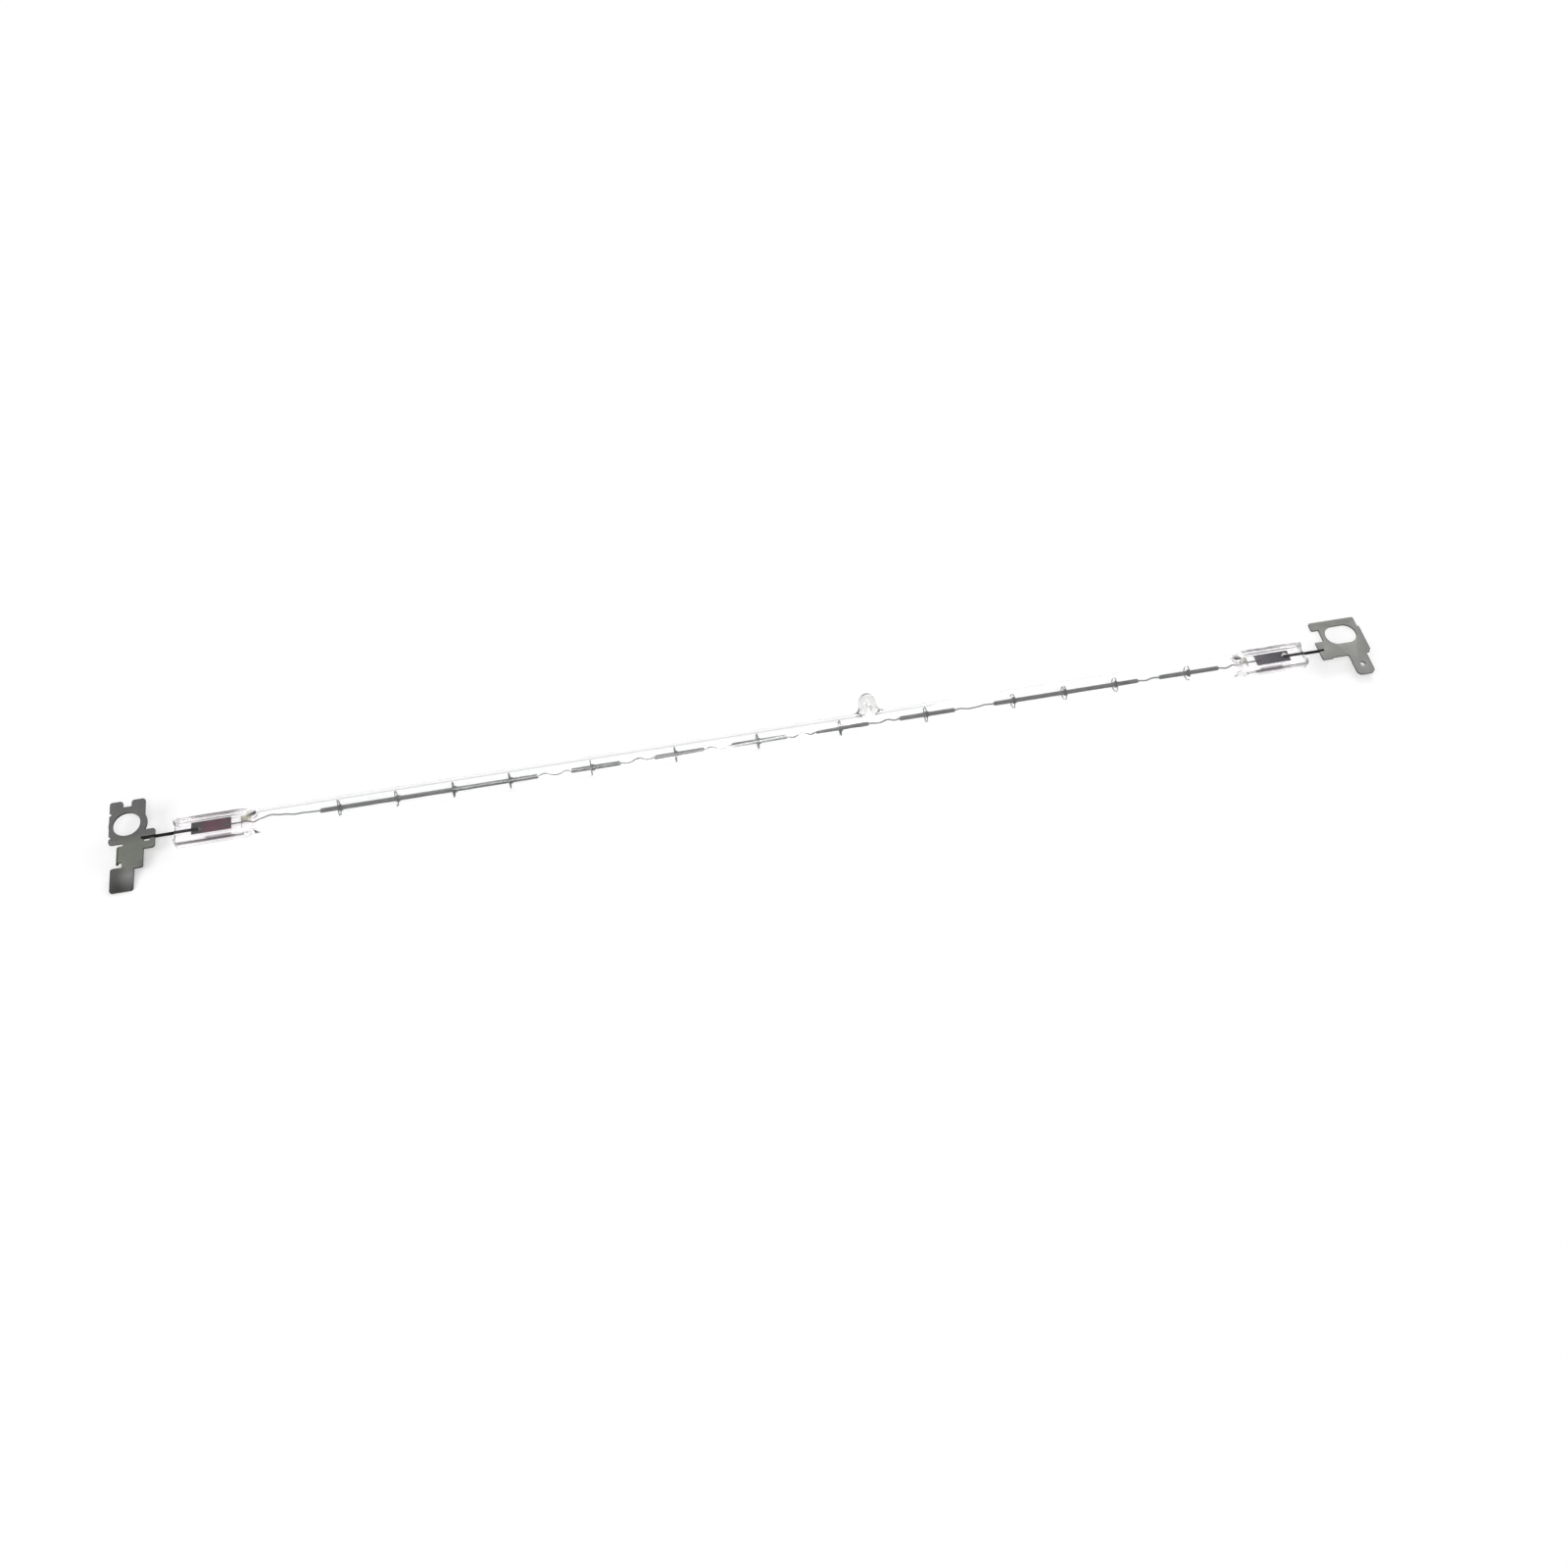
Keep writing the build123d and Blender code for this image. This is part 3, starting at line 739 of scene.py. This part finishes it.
# Foils: thin strips with feathered edges, faintly rippled by the pinch
foilStrip = {
    "length": 9.2,
    "width": 3.3,
    "half": 0.025,
    "inner": 128.5,
    "feather": (0.5, 0.15),  # the edges thin out over this width, from this share of the thickness
    "ripple": 0.012,
    "rippleRates": (2.3, 0.7, 2.1),  # radians per mm
    "rows": 47,
    "columns": 15,
}


def foilMesh(sideways, aside):
    rows, columns = foilStrip["rows"], foilStrip["columns"]
    x = np.linspace(foilStrip["inner"], foilStrip["inner"] + foilStrip["length"], rows)
    y = np.linspace(-foilStrip["width"] / 2, foilStrip["width"] / 2, columns)
    gridX, gridY = np.meshgrid(x, y, indexing="ij")
    lengthways, slanted, sideRate = foilStrip["rippleRates"]
    ripple = foilStrip["ripple"] * np.sin(gridX * lengthways + gridY * slanted) * np.cos(gridY * sideRate)
    feather, thinnest = foilStrip["feather"]
    thick = foilStrip["half"] * ease((foilStrip["width"] / 2 - np.abs(gridY)) / feather + thinnest)
    verts = []
    for sign in (1, -1):
        flat = (gridY + aside).ravel()
        verts.append(np.column_stack([(sideways * gridX).ravel(), flat, (ripple + sign * thick).ravel()]))
    faces = []
    below = rows * columns
    for i in range(rows - 1):
        for j in range(columns - 1):
            a, b = i * columns + j, (i + 1) * columns + j
            faces.append((a, b, b + 1, a + 1))
            faces.append((below + a, below + a + 1, below + b + 1, below + b))
    rim = [i * columns for i in range(rows)] + [(rows - 1) * columns + j for j in range(1, columns)]
    rim += [i * columns + columns - 1 for i in range(rows - 2, -1, -1)] + list(range(columns - 2, 0, -1))
    for a, b in zip(rim, rim[1:] + rim[:1]):
        faces.append((a, below + a, below + b, b))
    if sideways < 0:
        faces = [face[::-1] for face in faces]
    return np.vstack(verts), faces


def foilMaterial(name, sideways, colouring):
    material, tree, shader = newMaterial(name, Metallic=1.0)
    low, high = sorted(sideways * (foilStrip["inner"] + part) for part in (0.0, foilStrip["length"]))
    placeNode = useGroup(tree, lampPlace)
    grainNode = useGroup(tree, metalGrain, {"Mottle Size": 1.3, "Grain Size": 0.15, "Line Size": 0.2})
    drift = mapRange(tree, grainNode.outputs["Mottle"], 0.25, 0.75, -1.0, 1.0)
    along = math2(tree, "ADD", placeNode.outputs["Along"], drift)
    colour = colourRamp(tree, mapRange(tree, along, low, high), colouring["bands"])
    speck = mapRange(tree, grainNode.outputs["Grain"], *noiseSpan, 0.8, 1.2)
    colour = mixColour(tree, 1.0, colour, speck, "MULTIPLY")
    off = []
    for label, (middle, reach) in colouring["weld"].items():  # a spot with four straight sides
        away = math2(tree, "SUBTRACT", placeNode.outputs[label], middle)
        off.append(math2(tree, "ABSOLUTE", math2(tree, "DIVIDE", away, reach)))
    welded = mapRange(tree, math2(tree, "ADD", *off), 1.15, 0.75, smooth=True)
    tree.links.new(mixColour(tree, welded, colour, colouring["weldColour"]), shader.inputs["Base Color"])
    rough = mapRange(tree, grainNode.outputs["Lines"], *noiseSpan, 0.35, 0.55)
    tree.links.new(rough, shader.inputs["Roughness"])
    addBump(tree, shader, grainNode.outputs["Height"], 0.5, 0.00003)
    return material


foilFinish = {  # bands from low to high along the lamp; the weld's middle and reach in mm
    "left": {
        "bands": [
            (0.0, (0.075, 0.08, 0.08)),
            (0.22, (0.085, 0.08, 0.084)),
            (0.42, (0.15, 0.07, 0.09)),
            (1.0, (0.115, 0.075, 0.088)),
        ],
        "weld": {"Along": (-136.0, 0.75), "Across": (0.05, 0.55)},
        "weldColour": (0.2, 0.21, 0.21),
    },
    "right": {
        "bands": [
            (0.0, (0.16, 0.15, 0.165)),
            (0.3, (0.12, 0.11, 0.13)),
            (0.75, (0.09, 0.082, 0.095)),
            (1.0, (0.1, 0.09, 0.105)),
        ],
        "weld": {"Along": (136.6, 1.0), "Across": (0.5, 0.8)},
        "weldColour": (0.75, 0.75, 0.73),
    },
}
lampEnds = (("left", -1), ("right", 1))
foilTones = {"left": "foilMauve", "right": "foilGrey"}
for sideName, sideways in lampEnds:
    foilMetal = foilMaterial(foilTones[sideName], sideways, foilFinish[sideName])
    low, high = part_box(f"{sideName}_foil")
    aside = ((low + high) / 2 - lampMiddle).dot(lampAcross) / mm
    some, loops = foilMesh(sideways, aside)
    addPiece(f"{sideName}FoilStrip", some, loops, foilMetal, f"{sideName}_foil")

# Leads: black wire with a flattened, welded end on the foil
leadWire = {"radius": 0.4, "height": 0.385, "start": 136.0, "flat": 1.7, "sides": 24, "points": 60}
leadBlack = wireMaterial("leadBlack", (0.03, 0.03, 0.03), (0.012, 0.012, 0.012), 0.5)
for sideName, sideways in lampEnds:
    low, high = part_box(f"{sideName}_lead")
    reach = max(abs(low.x - lampMiddle.x), abs(high.x - lampMiddle.x)) / mm
    x = np.linspace(leadWire["start"], reach, leadWire["points"])
    line = np.column_stack([sideways * x, np.zeros_like(x), np.full_like(x, leadWire["height"])])
    some, loops = sweepWire(line, leadWire["radius"], leadWire["sides"], endRound=False)
    onFoil = np.abs(some[:, 0]) < leadWire["start"] + leadWire["flat"]
    some[:, 2] = np.where(onFoil, np.maximum(some[:, 2], foilStrip["half"]), some[:, 2])
    addPiece(f"{sideName}LeadWire", some, loops, leadBlack, f"{sideName}_lead")

# Terminals: the stamped plates with their edges broken
platedSheet = {
    "edgeBreak": 0.11,
    "segments": 3,
    "mergeGap": 1e-7,
    "flatAngle": math.radians(0.6),  # facets that differ by less are one face
    "sharpAngle": math.radians(40),  # edges that turn by more are broken
    "shadeAngle": math.radians(32),
}


def brokenEdges(nodeName, pieceName, material):
    shape = bmesh.new()
    shape.from_mesh(frame["nodes"][nodeName].data)
    bmesh.ops.remove_doubles(shape, verts=shape.verts, dist=platedSheet["mergeGap"])
    bmesh.ops.dissolve_limit(
        shape, angle_limit=platedSheet["flatAngle"], verts=shape.verts, edges=shape.edges
    )
    sharp = [e for e in shape.edges if e.is_manifold and e.calc_face_angle() > platedSheet["sharpAngle"]]
    bmesh.ops.bevel(
        shape,
        geom=sharp,
        offset=platedSheet["edgeBreak"] * mm,
        segments=platedSheet["segments"],
        profile=0.5,
        affect="EDGES",
        clamp_overlap=True,
    )
    bmesh.ops.recalc_face_normals(shape, faces=shape.faces)
    mesh = bpy.data.meshes.new(pieceName)
    shape.to_mesh(mesh)
    shape.free()
    dressPiece(pieceName, mesh, material, nodeName)
    mesh.set_sharp_from_angle(angle=platedSheet["shadeAngle"])


def platingMaterial(name, colouring):
    material, tree, shader = newMaterial(name, Metallic=1.0)
    placeNode = useGroup(tree, lampPlace)
    grainNode = useGroup(
        tree,
        metalGrain,
        {"Mottle Size": 2.6, "Grain Size": 0.1, "Line Size": 0.07, "Line Stretch": (1.0, 0.04, 0.04)},
    )
    edgeNode = useGroup(tree, cutEdge)
    drift = mapRange(tree, grainNode.outputs["Mottle"], 0.2, 0.8, -1.2, 1.2)
    across = math2(tree, "ADD", placeNode.outputs["Across"], drift)
    colour = colourRamp(tree, mapRange(tree, across, *colouring["across"]), colouring["bands"])
    speck = mapRange(tree, grainNode.outputs["Grain"], *noiseSpan, 0.9, 1.1)
    colour = mixColour(tree, 1.0, colour, speck, "MULTIPLY")
    cloud = mapRange(tree, grainNode.outputs["Mottle"], *noiseSpan, 0.95, 1.05)
    colour = mixColour(tree, 1.0, colour, cloud, "MULTIPLY")
    # painted highlight and shade spots: a tone above 1 lightens, below 1 darkens
    for along, aside, reach, tone in colouring["paintedSheenAndShade"]:
        offX = math2(tree, "SUBTRACT", placeNode.outputs["Along"], along)
        offY = math2(tree, "SUBTRACT", placeNode.outputs["Across"], aside)
        mask = mapRange(tree, distance2(tree, offX, offY), reach, 0.0, smooth=True)
        colour = mixColour(tree, mask, colour, [tone] * 3, "MULTIPLY")
    # painted dark reflection on the broken edges
    colour = mixColour(tree, edgeNode.outputs["Edge"], colour, colouring["edge"])
    tree.links.new(colour, shader.inputs["Base Color"])
    roughness = colouring["roughness"]
    rough = mapRange(tree, grainNode.outputs["Lines"], *noiseSpan, roughness - 0.06, roughness + 0.08)
    tree.links.new(rough, shader.inputs["Roughness"])
    addBump(tree, shader, grainNode.outputs["Height"], 0.25, 0.00002)
    return material


platingToneAndPaintedLight = {  # bands across the plate; each painted spot of sheen (tone above 1) or shade (tone below 1) has its place along and across, reach and tone
    "left": {
        "across": (-13.5, 11.0),
        "bands": [
            (0.0, (0.085, 0.085, 0.083)),
            (0.22, (0.125, 0.126, 0.122)),
            (0.3, (0.19, 0.2, 0.172)),
            (0.5, (0.2, 0.21, 0.182)),
            (0.58, (0.155, 0.156, 0.152)),
            (1.0, (0.16, 0.16, 0.158)),
        ],
        "edge": (0.03, 0.03, 0.028),
        "roughness": 0.42,
        # painted highlight on the blade, and painted shade at its lower corner
        "paintedSheenAndShade": [(-151.0, -10.0, 4.2, 1.95), (-154.0, -13.0, 3.2, 0.62)],
    },
    "right": {
        "across": (-9.0, 9.0),
        "bands": [
            (0.0, (0.3, 0.3, 0.29)),
            (0.5, (0.29, 0.29, 0.279)),
            (0.86, (0.3, 0.3, 0.288)),
            # painted shade along the far edge
            (0.95, (0.235, 0.236, 0.222)),
        ],
        "edge": (0.12, 0.12, 0.12),
        "roughness": 0.42,
        "paintedSheenAndShade": [],
    },
}
for sideName, colouring in platingToneAndPaintedLight.items():
    plating = platingMaterial(f"{sideName}Plating", colouring)
    brokenEdges(f"{sideName}_terminal", f"{sideName}Plate", plating)

# Floor and light
studio = {
    "floorHalf": 4.0,
    "floorColour": 0.8,
    "floorFar": 0.4,  # floor well away from the lamp, as glass and metal see it
    "fadeFrom": 0.4,
    "fadeTo": 1.2,
    "floorGlow": (-0.2, 0.45, 0.14, 0.57),  # between front and back, the glow added to the floor
    "floorSide": (0.0, 0.17, 0.0, 0.1),  # and between middle and right
    "paper": (0.985, 1.0),
    "paperScale": 60.0,
    "worldFill": 0.5,
    "skyLow": 0.72,
    "skyTop": 0.92,
    "skyBand": (0.05, 0.75),  # the world brightens between these heights
    "lamps": [
        {"name": "frontLeft", "place": (-0.42, -0.24, 0.42), "size": 0.34, "power": 0.8, "mirrored": True},
        {"name": "backRight", "place": (0.34, 0.52, 0.36), "size": 0.3, "power": 1.1, "mirrored": True},
        {"name": "atCamera", "place": (-0.05, -0.3, 0.32), "size": 0.15, "power": 0.6, "mirrored": False},
    ],
    "stripRadiance": 8.0,
    "stripFrom": (-0.02, -0.59, 0.125),
    "stripTo": (0.14, -0.035, 0.61),
    "stripAim": (0.02, 0, 0),
    "stripWidth": 0.035,
}


def seenDirectly(tree):  # camera, mirror and glass rays
    path = node(tree, "ShaderNodeLightPath")
    seen = math2(tree, "MAXIMUM", path.outputs["Is Camera Ray"], path.outputs["Is Glossy Ray"])
    return math2(tree, "MAXIMUM", seen, path.outputs["Is Transmission Ray"])


floorMesh = bpy.data.meshes.new("floor")
far = studio["floorHalf"]
floorMesh.from_pydata([(-far, -far, 0), (far, -far, 0), (far, far, 0), (-far, far, 0)], [], [(0, 1, 2, 3)])
floor = bpy.data.objects.new("floor", floorMesh)
scene.collection.objects.link(floor)
floorWhite, floorTree, floorShader = newMaterial("floorWhite", Roughness=0.9, Specular_IOR_Level=0.0)
floorCoords = node(floorTree, "ShaderNodeTexCoord").outputs["Object"]
floorAway = node(floorTree, "ShaderNodeVectorMath", {0: floorCoords}, operation="LENGTH").outputs["Value"]
floorNear = mapRange(floorTree, floorAway, studio["fadeTo"], studio["fadeFrom"], smooth=True)
floorPath = node(floorTree, "ShaderNodeLightPath")
floorSeen = math2(floorTree, "MAXIMUM", floorNear, floorPath.outputs["Is Camera Ray"])
floorTone = mixColour(floorTree, floorSeen, [studio["floorFar"]] * 3, [studio["floorColour"]] * 3)
paper = node(floorTree, "ShaderNodeTexNoise", {"Scale": studio["paperScale"], "Detail": 2.0}).outputs["Fac"]
paperTone = mapRange(floorTree, paper, *noiseSpan, *studio["paper"])
floorTone = mixColour(floorTree, 1.0, floorTone, paperTone, "MULTIPLY")
floorTree.links.new(floorTone, floorShader.inputs["Base Color"])
floorShader.inputs["Emission Color"].default_value = (1, 1, 1, 1)
floorSpot = node(floorTree, "ShaderNodeSeparateXYZ", {0: floorCoords})
floorGlow = math2(
    floorTree,
    "ADD",
    mapRange(floorTree, floorSpot.outputs["Y"], *studio["floorGlow"]),
    mapRange(floorTree, floorSpot.outputs["X"], *studio["floorSide"]),
)
floorGlow = product(floorTree, seenDirectly(floorTree), floorGlow, floorSeen)
floorTree.links.new(floorGlow, floorShader.inputs["Emission Strength"])
floorMesh.materials.append(floorWhite)

world = bpy.data.worlds.new("studioWorld")
scene.world = world
world.use_nodes = True
worldTree = world.node_tree
worldTree.nodes.clear()
skyHeight = node(
    worldTree, "ShaderNodeSeparateXYZ", {0: node(worldTree, "ShaderNodeTexCoord").outputs["Generated"]}
).outputs["Z"]
skyTone = mapRange(
    worldTree, skyHeight, *studio["skyBand"], studio["skyLow"], studio["skyTop"], smooth=True
)
worldLevel = node(
    worldTree,
    "ShaderNodeMix",
    {0: seenDirectly(worldTree), 2: studio["worldFill"], 3: skyTone},
    data_type="FLOAT",
).outputs[0]
worldBack = node(worldTree, "ShaderNodeBackground", {"Color": (1, 1, 1, 1), "Strength": worldLevel})
node(worldTree, "ShaderNodeOutputWorld", {"Surface": worldBack.outputs[0]})


def aimLight(name, place, target, sizeX, sizeY, power, along=(1, 0, 0)):
    data = bpy.data.lights.new(name, "AREA")
    data.shape = "RECTANGLE"
    data.size, data.size_y, data.energy = sizeX, sizeY, power
    light = bpy.data.objects.new(name, data)
    scene.collection.objects.link(light)
    back = (Vector(place) - Vector(target)).normalized()
    up = back.cross(Vector(along)).normalized()
    side = up.cross(back)
    light.matrix_world = Matrix.Translation(Vector(place)) @ Matrix((side, up, back)).transposed().to_4x4()
    return light


for lampSet in studio["lamps"]:
    size = lampSet["size"]
    soft = aimLight(lampSet["name"], lampSet["place"], (0, 0, 0), size, size, lampSet["power"])
    soft.visible_glossy = lampSet["mirrored"]
stripFrom, stripTo = Vector(studio["stripFrom"]), Vector(studio["stripTo"])
stripLength = (stripTo - stripFrom).length
strip = aimLight(
    "streakStrip",
    (stripFrom + stripTo) / 2,
    studio["stripAim"],
    stripLength,
    studio["stripWidth"],
    studio["stripRadiance"] * math.pi * stripLength * studio["stripWidth"],
    along=stripTo - stripFrom,
)
strip.visible_diffuse = False
onlyGlass = bpy.data.collections.new("onlyGlass")  # the strip lights nothing but the glass
onlyGlass.objects.link(quartzTube)
strip.light_linking.receiver_collection = onlyGlass
print("floor, world and lights ready")
